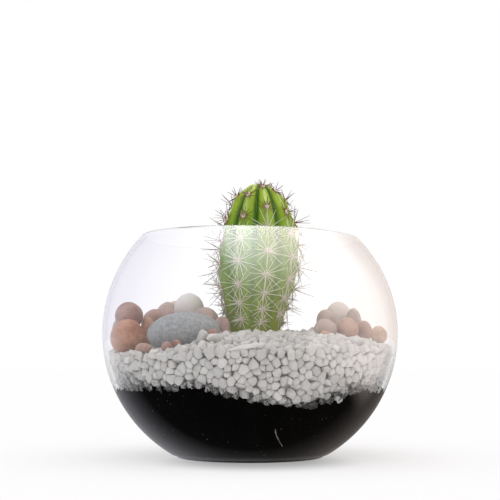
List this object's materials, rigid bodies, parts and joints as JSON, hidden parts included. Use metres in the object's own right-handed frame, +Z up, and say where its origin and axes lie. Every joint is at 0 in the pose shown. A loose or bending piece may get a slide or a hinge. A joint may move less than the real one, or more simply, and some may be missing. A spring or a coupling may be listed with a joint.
{
  "type": "glass plant terrarium",
  "caption": "Open bubble bowl of clear glass planted with a columnar cactus in black soil, topped with white marble chips and smooth river stones; for indoor display on a flat surface.",
  "frame": {"origin": "centre of the bowl's flat foot, on the surface it rests on", "axes": "+Z up along the bowl's axis; -Y is the front, with the slate stone to the left of the cactus; +X to the right"},
  "size_m": [0.1994, 0.1994, 0.1872],
  "materials": {
    "clear_glass": "gloss",
    "black_soil": "matte",
    "white_marble": "matte",
    "cactus_skin": "satin",
    "slate_stone": "satin",
    "terracotta_stone": "satin",
    "brown_stone": "satin",
    "mauve_stone": "satin",
    "pink_stone": "satin",
    "beige_stone": "satin",
    "rust_stone": "satin"
  },
  "bodies": {
    "root": {"glass_bowl": "clear_glass", "potting_soil": "black_soil", "marble_chips": "white_marble", "cactus": "cactus_skin", "left_stone_slate": "slate_stone", "left_stone_01": "terracotta_stone", "left_stone_02": "terracotta_stone", "left_stone_03": "brown_stone", "left_stone_04": "mauve_stone", "left_stone_05": "brown_stone", "left_stone_06": "brown_stone", "left_stone_07": "beige_stone", "left_stone_08": "pink_stone", "left_stone_09": "rust_stone", "left_stone_10": "rust_stone", "left_stone_11": "brown_stone", "left_stone_12": "rust_stone", "left_stone_13": "rust_stone", "left_stone_14": "brown_stone", "right_stone_01": "mauve_stone", "right_stone_02": "terracotta_stone", "right_stone_03": "brown_stone", "right_stone_04": "beige_stone", "right_stone_05": "mauve_stone", "right_stone_06": "beige_stone", "right_stone_07": "mauve_stone", "right_stone_08": "terracotta_stone"}
  },
  "joints": []
}
